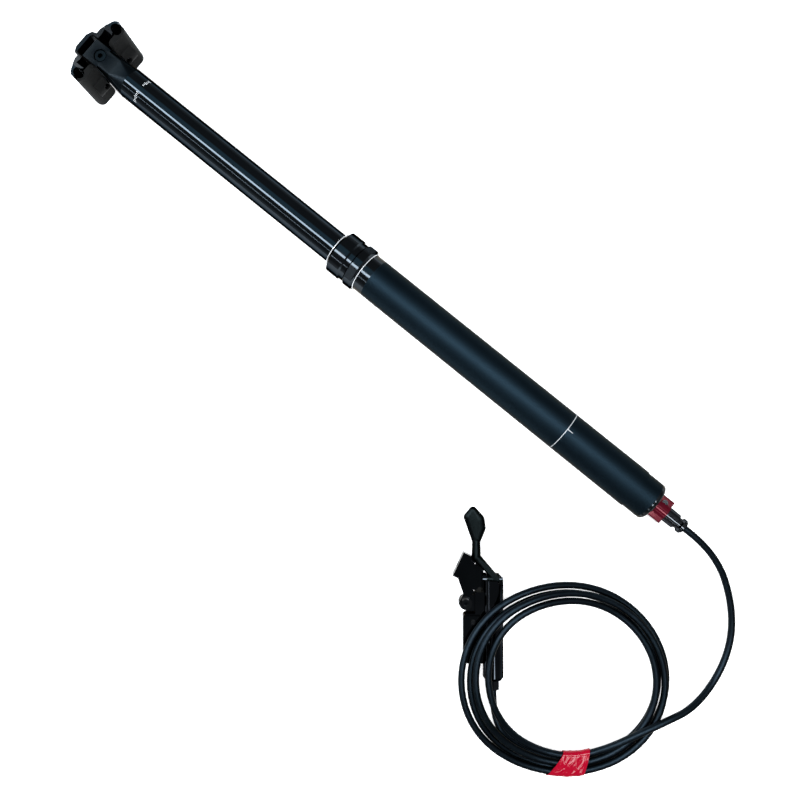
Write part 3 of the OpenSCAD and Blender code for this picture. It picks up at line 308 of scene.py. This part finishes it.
M = {
    "post_black": post_satin("post_satin", NECK_ZONE),
    "collar_black": collar_gloss("collar_gloss"),
    "stanchion_black": metal("stanchion_gloss", (0.025, 0.031, 0.037), 0.085, 0.02, 500, 0.006,
                             streak=(0.1, 1.0, 1.0), rim=0.3, tint=0.1),
    # Lighter edge colour on the head is a painted highlight standing in for its thin bright edge lines
    "head_black": metal("head_blasted", (0.0064, 0.0090, 0.0115), 0.38, 0.06, 3200, 0.14,
                        rim=0.4, wear=(0.05, 0.056, 0.06)),
    "cradle_grey": coated("cradle_matte", (0.0034, 0.0037, 0.0036), 0.6, 0.06, 3600, 0.2,
                          spec=0.06, wear=(0.010, 0.010, 0.010)),
    "bolt_steel": metal("bolt_steel", (0.016, 0.018, 0.021), 0.13, 0.04, 1800, 0.02,
                        wear=(0.045, 0.048, 0.052), rim=0.4),
    "bright_steel": metal("bright_steel", (0.62, 0.63, 0.65), 0.24, 0.08, 1800, 0.05),
    "alloy": metal("turned_alloy", (0.55, 0.56, 0.58), 0.32, 0.08, 1500, 0.05, streak=(6.0, 1.0, 1.0)),
    "bearing": coated("bearing_polymer", (0.16, 0.165, 0.17), 0.55, 0.05, 1500, 0.05),
    "seal_rubber": coated("seal_rubber", (0.008, 0.008, 0.009), 0.7, 0.08, 1800, 0.12, spec=0.3),
    "foam": coated("oiled_foam", (0.30, 0.20, 0.08), 0.9, 0.05, 1400, 0.6, spec=0.1),
    "key_brass": metal("key_brass", (0.60, 0.43, 0.16), 0.3, 0.08, 1200, 0.05),
    "coupling_red": coated("coupling_red", (0.078, 0.0008, 0.008), 0.12, 0.04, 1600, 0.02,
                           metallic=0.3, spec=0.35, wear=(0.085, 0.002, 0.010), rim=0.6),
    "fitting_black": metal("fitting_black", (0.042, 0.045, 0.050), 0.1, 0.03, 1200, 0.02, rim=0.25),
    "remote_black": metal("remote_gloss", (0.019, 0.022, 0.026), 0.05, 0.012, 1400, 0.006, rim=0.2),
    "cover_grey": metal("cover_gloss", (0.015, 0.018, 0.021), 0.055, 0.012, 2200, 0.008, rim=0.2),
    "hose_black": metal("hose_jacket", (0.0084, 0.0128, 0.0172), 0.4, 0.05, 1500, 0.05, rim=0.5),
    "tag_red": coated("tag_film", (0.30, 0.0010, 0.014), 0.1, 0.02, 300, 0.005, spec=0.2, tint=0.12),
    "edge_silver": coated("edge_silver", (0.74, 0.75, 0.77), 0.3, 0.05, 1500, 0.03, metallic=0.35),
    "print_white": coated("print_white", (0.70, 0.72, 0.74), 0.5, 0.05, 1500, 0.02, tint=0.06),
}

for sub in frame["record"]["subparts"]:
    if sub["node"] in NODES:
        put(M[sub["material_slot"]], sub["node"])


# Nodes whose finish differs from the rest of their slot

put(collar_gloss("lock_gloss", GROOVE_ZONE), "lock_collar")
put(post_satin("foot_satin", FOOT_ZONE), "foot_cap")
put(metal("lever_satin", (0.0030, 0.0042, 0.0045), 0.3, 0.05, 1800, 0.04, rim=0.5), "remote_lever")
put(metal("bracket_bolt_gloss", (0.011, 0.013, 0.016), 0.08, 0.015, 1800, 0.006, rim=0.3,
          wear=(0.06, 0.064, 0.07)), "bracket_bolt", "bracket_washers")
put(M["bolt_steel"], "coupling_screw")
# Lighter edge colour on the yoke is a painted highlight standing in for its glossy edge lines
put(metal("yoke_gloss", (0.024, 0.029, 0.035), 0.2, 0.05, 2400, 0.05, rim=0.5, wear=(0.09, 0.10, 0.11)), "yoke")


# Hose: one curve through the same points as the solids, in millimetres and degrees

FLOOR = -18.0
HOSE_R = 2.5
HOSE_STEP = 2.5
HOSE_EXIT = Vector((304, 0, 0))
LAY = math.radians(-51)
RIGHT = Vector((-math.sin(LAY), math.cos(LAY), 0))
DOWN = Vector((math.cos(LAY), math.sin(LAY), 0))

# The coil spirals out over the upper loops, climbs down, and spirals in over the lower ones
COIL_AT = Vector((308.4, -141, FLOOR))
COIL_R = 58.0
COIL_WIDE, COIL_TALL = 1.06, 0.95
COIL_H = HOSE_R + 0.6
COIL_STEPS = 72
PITCH = 5.8
LAYER_H = 5.6
UPPER = 2
CLIMB = 0.5
SWING = 2.0
START = 75.0
TURNS = 4 + 55 / 360
WAY_STEP = 0.01

# The loops fan out at the left and rise there over the remote
FAN, FAN_AT = 3.0, 165.0
REMOTE_H = 15.2
LIFT = REMOTE_H + HOSE_R + 0.4 - COIL_H
RISE_AT, FALL_AT, RISE_SPAN = 100, 240, 72

LEAD = [
    (312, 0, -0.2), (322, -0.5, -1.2), (334, -2.5, -3), (347, -7, -5.6), (359, -14, -8.4),
    (370, -22.5, -11.2), (380, -33, -13.6), (387.5, -45, -15), (392.5, -59, -15.3), (394.5, -74, -14.2),
    (393, -89, -10.4), (388.5, -103, -6.2), (381.5, -116, -3.4), (375, -129.5, -3.2),
    (369, -143.5, -4.8), (363, -157.3, -6.9),
]
TAIL = [(293.7, -199.9, -7.1), (288.4, -197.3, -7.6), (283.5, -193.6, -8.8), (279.2, -189.5, -9.9)]
PORT = Vector((268, -176, FLOOR + 7.6))
PORT_NUT = 7
STRAIGHT = 5


def ease(u):
    c = max(0.0, min(1.0, u))
    return c * c * (3 - 2 * c)


def on_coil(rho, angle, z):
    """A point round the coil's middle, from a distance, an angle in radians and a height over the floor."""
    return COIL_AT + RIGHT * (rho * math.cos(angle)) + DOWN * (rho * math.sin(angle)) + Vector((0, 0, z))


def coil_point(t):
    a = START + 360 * t
    loop = t if t < UPPER + CLIMB else 2 * (UPPER + CLIMB) - t
    fan = FAN * max(0.0, math.cos(math.radians(a - FAN_AT))) ** 2 * max(0.0, UPPER - loop)
    r = COIL_R + PITCH * loop - fan
    if UPPER < t < UPPER + CLIMB:
        r += SWING * math.sin(math.pi * (t - UPPER) / CLIMB)
    m = a % 360
    lift = LIFT * (ease((m - RISE_AT) / RISE_SPAN) - ease((m - FALL_AT) / RISE_SPAN))
    z = COIL_H + LAYER_H * (1 - ease((t - UPPER) / CLIMB)) + lift
    ar = math.radians(a)
    return (COIL_AT + RIGHT * (COIL_WIDE * r * math.cos(ar)) + DOWN * (COIL_TALL * r * math.sin(ar))
            + Vector((0, 0, z)))


def coil_way(t):
    return (coil_point(t + WAY_STEP) - coil_point(t - WAY_STEP)).normalized()


def catmull(points):
    """A smooth path through the points, with a point every few millimetres."""
    pts = [Vector(p) for p in points]
    ext = [2 * pts[0] - pts[1]] + pts + [2 * pts[-1] - pts[-2]]
    out = []
    for i in range(1, len(ext) - 2):
        p0, p1, p2, p3 = ext[i - 1], ext[i], ext[i + 1], ext[i + 2]
        n = max(2, int((p2 - p1).length / HOSE_STEP))
        for k in range(n):
            u = k / n
            out.append(0.5 * (2 * p1 + (p2 - p0) * u + (2 * p0 - 5 * p1 + 4 * p2 - p3) * u * u
                              + (3 * p1 - p0 - 3 * p2 + p3) * u ** 3))
    out.append(pts[-1])
    return out


def make_hose():
    first = coil_point(0) - STRAIGHT * coil_way(0)
    last = coil_point(TURNS) + STRAIGHT * coil_way(TURNS)
    port_end = PORT + DOWN * PORT_NUT
    lead = catmull([HOSE_EXIT, *LEAD, first, coil_point(0)])
    coil = [coil_point(i / COIL_STEPS) for i in range(1, int(TURNS * COIL_STEPS))]
    tail = catmull([coil_point(TURNS), last, *TAIL, port_end + DOWN * STRAIGHT, port_end])
    path = lead + coil + tail
    data = bpy.data.curves.new("hose", "CURVE")
    data.dimensions = "3D"
    spline = data.splines.new("POLY")
    spline.points.add(len(path) - 1)
    for p, q in zip(spline.points, path):
        p.co = (*(q * MM), 1.0)
    data.bevel_depth = HOSE_R * MM
    data.bevel_resolution = 5
    data.use_fill_caps = True
    spline.use_smooth = True
    ob = bpy.data.objects.new("hose", data)
    scene.collection.objects.link(ob)
    ob.data.materials.append(M["hose_black"])
    length = sum((b - a).length for a, b in zip(path, path[1:])) * MM
    return ob, length


# Tag: a film round the loops at the coil's foot

TAG_MID, TAG_LEN = 2.0, 24.0
TAG_SKEW, TAG_WIDE, TAG_R = 16.0, 27.0, 64.0
TAG_LOOPS = 5
TAG_ROWS, TAG_AROUND, STRAND_SIDES = 44, 132, 24
TAG_OFF, TAG_LOW = 0.4, 0.35
TAG_THICK = 0.22
FOLD_FROM, FOLD_RISE = 0.5, 2.5

# Each fold: how often it comes round and along the film, phase, height and sharpness
FOLDS = (
    (0.10, 0.26, 0.4, 0.22, 3),
    (0.17, -0.15, 1.9, 0.16, 4),
    (0.05, 0.34, 2.7, 0.16, 3),
)


def convex(points):
    """Convex outline of points in the plane, in order."""
    pts = sorted(set((round(a, 4), round(b, 4)) for a, b in points))

    def half(seq):
        out = []
        for q in seq:
            while len(out) > 1 and ((out[-1][0] - out[-2][0]) * (q[1] - out[-2][1])
                                    - (out[-1][1] - out[-2][1]) * (q[0] - out[-2][0])) <= 0:
                out.pop()
            out.append(q)
        return out[:-1]

    return half(pts) + half(reversed(pts))


def resample(loop, count):
    """Points spread evenly round a closed outline, and how far round each one is."""
    ends = loop[1:] + loop[:1]
    steps = [math.dist(a, b) for a, b in zip(loop, ends)]
    total = sum(steps)
    out, i, done = [], 0, 0.0
    for k in range(count):
        want = total * k / count
        while done + steps[i] < want:
            done += steps[i]
            i += 1
        u = (want - done) / steps[i]
        a, b = loop[i], ends[i]
        out.append((a[0] + (b[0] - a[0]) * u, a[1] + (b[1] - a[1]) * u, want))
    return out


def crease(u, v):
    """Height of the film's folds, from how far round and how far along it is, in millimetres."""
    h = 0.0
    for ku, kv, ph, amp, sharp in FOLDS:
        warp = 0.9 * math.sin(0.13 * u - 0.19 * v + ph)
        h += amp * (1 - abs(math.sin(ku * u + kv * v + ph + warp))) ** sharp
    return h


def strands(phi):
    """Points round each loop of the coil where it passes an angle, as distance and height."""
    reach = HOSE_R + TAG_OFF
    points = []
    for n in range(TAG_LOOPS):
        t = (phi - START) / 360 + n
        if not 0 <= t <= TURNS:
            continue
        q = coil_point(t) - COIL_AT
        rho = math.hypot(q.dot(RIGHT), q.dot(DOWN))
        for k in range(STRAND_SIDES):
            a = 2 * math.pi * k / STRAND_SIDES
            points.append((rho + reach * math.cos(a), max(TAG_LOW, q.z + reach * math.sin(a))))
    return points


def make_tag():
    """Film wrapped askew round the loops, with folds that stand off them."""
    rows = []
    for i in range(TAG_ROWS + 1):
        v = TAG_LEN * (i / TAG_ROWS - 0.5)
        phi = 90.0 - math.degrees((TAG_MID + v) / TAG_R)
        loop = resample(convex(strands(phi)), TAG_AROUND)
        cx = sum(q[0] for q in loop) / TAG_AROUND
        cz = sum(q[1] for q in loop) / TAG_AROUND
        ring = []
        for rho, z, u in loop:
            out = Vector((rho - cx, 0, z - cz)).normalized()
            h = crease(u, v) * ease((z - FOLD_FROM) / FOLD_RISE)
            rho, z = rho + out.x * h, z + out.z * h
            along = math.radians(phi) - TAG_SKEW * (TAG_R - rho) / TAG_WIDE / TAG_R
            ring.append(on_coil(rho, along, z) * MM)
        rows.append(ring)
    bm = bmesh.new()
    loft(bm, rows, caps=False)
    ob = mesh_object("hose_tag_film", bm)
    mod = ob.modifiers.new("film", "SOLIDIFY")
    mod.thickness = TAG_THICK * MM
    mod.offset = 1.0
    put(M["tag_red"], ob)
    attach(ob, "lower")
    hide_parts("hose_tag")
    return ob


tag = make_tag()
hose, hose_length = make_hose()
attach(hose, "lower")
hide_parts("hose_lead", "hose_coil", "hose_tail")


# Trim: bright beads at the collar's edges, printed ticks and the depth line, in millimetres and degrees

BEAD_SIDES, BEAD_POINTS, BEAD_EDGE = 128, 12, 40
TICK_X = -227.0
TICK_LOW, TICK_TOP = 12.50, 12.54
TICK_ROWS = ((46, 6), (108, 7))
TICK_STEP, TICK_HALF = 6.0, 0.9
TICK_LONG, TICK_SHORT = 1.4, 0.8
LINE_LOW, LINE_TOP = 15.80, 15.84
LINE_FROM, LINE_TO, STEM_TO = 191.65, 192.0, 196.6
LINE_SIDES = 96
STEM_ANGLES = (86.8, 88.0)


def make_bead(name, x, r, half):
    """A thin round bead at a place along the post's axis and a radius."""
    angles = [2 * math.pi * k / BEAD_POINTS for k in range(BEAD_POINTS)]
    outline = [(x + half * math.cos(a), r + half * math.sin(a)) for a in angles]
    ob = turned(name, outline, BEAD_SIDES)
    auto_smooth(ob, BEAD_EDGE)
    put(M["edge_silver"], ob)
    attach(ob, "lower")


def make_ticks():
    """Printed height ticks round the stanchion's top, in two short rows with every third one longer."""
    bm = bmesh.new()
    for start, count in TICK_ROWS:
        for k in range(count):
            mid = start + TICK_STEP * k
            half = TICK_LONG if k % 3 == 0 else TICK_SHORT
            one, other = math.radians(mid - TICK_HALF), math.radians(mid + TICK_HALF)
            corners = ((one, TICK_LOW), (other, TICK_LOW), (other, TICK_TOP), (one, TICK_TOP))
            loft(bm, [[polar(x, r, a) for a, r in corners] for x in (TICK_X - half, TICK_X + half)])
    ob = mesh_object("stanchion_ticks", bm, False)
    put(M["print_white"], ob)
    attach(ob, "upper")


def print_band(bm, x0, x1, angles, closed):
    """A thin band of print on the lower tube between two places along it, over some angles."""
    corners = ((x0, LINE_LOW), (x1, LINE_LOW), (x1, LINE_TOP), (x0, LINE_TOP))
    loft(bm, [[polar(x, r, math.radians(a)) for x, r in corners] for a in angles], closed=closed)


def make_line():
    """Printed depth line round the lower tube, with a short stem."""
    bm = bmesh.new()
    print_band(bm, LINE_FROM, LINE_TO, [360 * k / LINE_SIDES for k in range(LINE_SIDES)], True)
    print_band(bm, LINE_TO, STEM_TO, STEM_ANGLES, False)
    ob = mesh_object("depth_line", bm, False)
    put(M["print_white"], ob)
    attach(ob, "lower")


make_bead("cap_edge", -27.95, 14.0, 0.4)
make_bead("lock_edge", -0.55, 16.1, 0.3)
make_ticks()
make_line()


# Floor and light, in metres and watts

FLOOR_SIZE = 60.0
FLOOR_AT = (0.12, -0.08, (FLOOR - 0.15) * MM)
FLOOR_GREY = 0.86
FLOOR_ROUGH = 0.9
FLOOR_GLOW = 0.66
COOL = (0.93, 0.97, 1.0)
HORIZON, ZENITH, ZENITH_FROM = 0.66, 0.2, 0.36

# Each lamp: name, place, target, size, power, colour and turn in degrees
LAMPS = (
    ("key", (-0.62, -0.31, 1.0), (-0.62, 0, 0), (0.96, 0.19), 11.4, COOL, 0.0),
    ("key_post", (0.175, -0.04, 1.0), (0.175, 0, 0), (0.81, 0.19), 11.8, COOL, 36.4),
    ("key_foot", (0.64, -0.31, 1.0), (0.64, 0, 0), (0.17, 0.19), 2.0, COOL, 0.0),
    ("wash", (-0.55, 0.12, 1.0), (-0.55, 0, 0), (0.9, 0.5), 1.0, (0.3, 0.75, 1.0), 0.0),
    ("edge", (-0.15, -0.90, 0.75), (-0.15, 0, 0), (1.9, 0.03), 2.4, COOL, 0.0),
    ("fill", (0.5, 0.9, 1.5), (0.12, -0.08, 0), (1.6, 1.2), 1.5, (0.95, 0.98, 1.0), 0.0),
)


def make_floor():
    """A pale floor that takes shadows and glows towards the camera and in mirrors."""
    bm = bmesh.new()
    bmesh.ops.create_grid(bm, x_segments=1, y_segments=1, size=FLOOR_SIZE)
    ob = mesh_object("floor", bm, False)
    ob.location = FLOOR_AT
    mat, nt, bsdf = principled("floor_pale")
    bsdf.inputs["Base Color"].default_value = (FLOOR_GREY, FLOOR_GREY, FLOOR_GREY, 1)
    bsdf.inputs["Roughness"].default_value = FLOOR_ROUGH
    bsdf.inputs["Specular IOR Level"].default_value = 0.0
    path = nt.nodes.new("ShaderNodeLightPath")
    rays = path.outputs["Is Camera Ray"]
    for kind in ("Is Glossy Ray", "Is Transmission Ray"):
        rays = maths(nt, "MAXIMUM", rays, path.outputs[kind])
    bsdf.inputs["Emission Color"].default_value = (1, 1, 1, 1)
    nt.links.new(maths(nt, "MULTIPLY", rays, FLOOR_GLOW), bsdf.inputs["Emission Strength"])
    ob.data.materials.append(mat)


def make_sky():
    """A cool sky that is brightest at the horizon."""
    world = bpy.data.worlds.new("studio")
    scene.world = world
    world.use_nodes = True
    nt = world.node_tree
    bg = next(n for n in nt.nodes if n.type == "BACKGROUND")
    bg.inputs["Color"].default_value = (*COOL, 1)
    tc = nt.nodes.new("ShaderNodeTexCoord")
    cut = nt.nodes.new("ShaderNodeSeparateXYZ")
    nt.links.new(tc.outputs["Generated"], cut.inputs[0])
    sky = span(nt, cut.outputs[2], 0.0, ZENITH_FROM, HORIZON, ZENITH)
    sky.node.interpolation_type = "SMOOTHSTEP"
    nt.links.new(sky, bg.inputs["Strength"])


def make_lamp(name, place, target, size, watts, colour, turn):
    data = bpy.data.lights.new(name, "AREA")
    data.shape = "RECTANGLE"
    data.size, data.size_y = size
    data.energy = watts
    data.color = colour
    ob = bpy.data.objects.new(name, data)
    scene.collection.objects.link(ob)
    way = (Vector(target) - Vector(place)).normalized()
    ob.matrix_world = (Matrix.Translation(Vector(place)) @ way.to_track_quat("-Z", "Y").to_matrix().to_4x4()
                       @ Matrix.Rotation(math.radians(turn), 4, "Z"))


make_floor()
make_sky()
for lamp in LAMPS:
    make_lamp(*lamp)
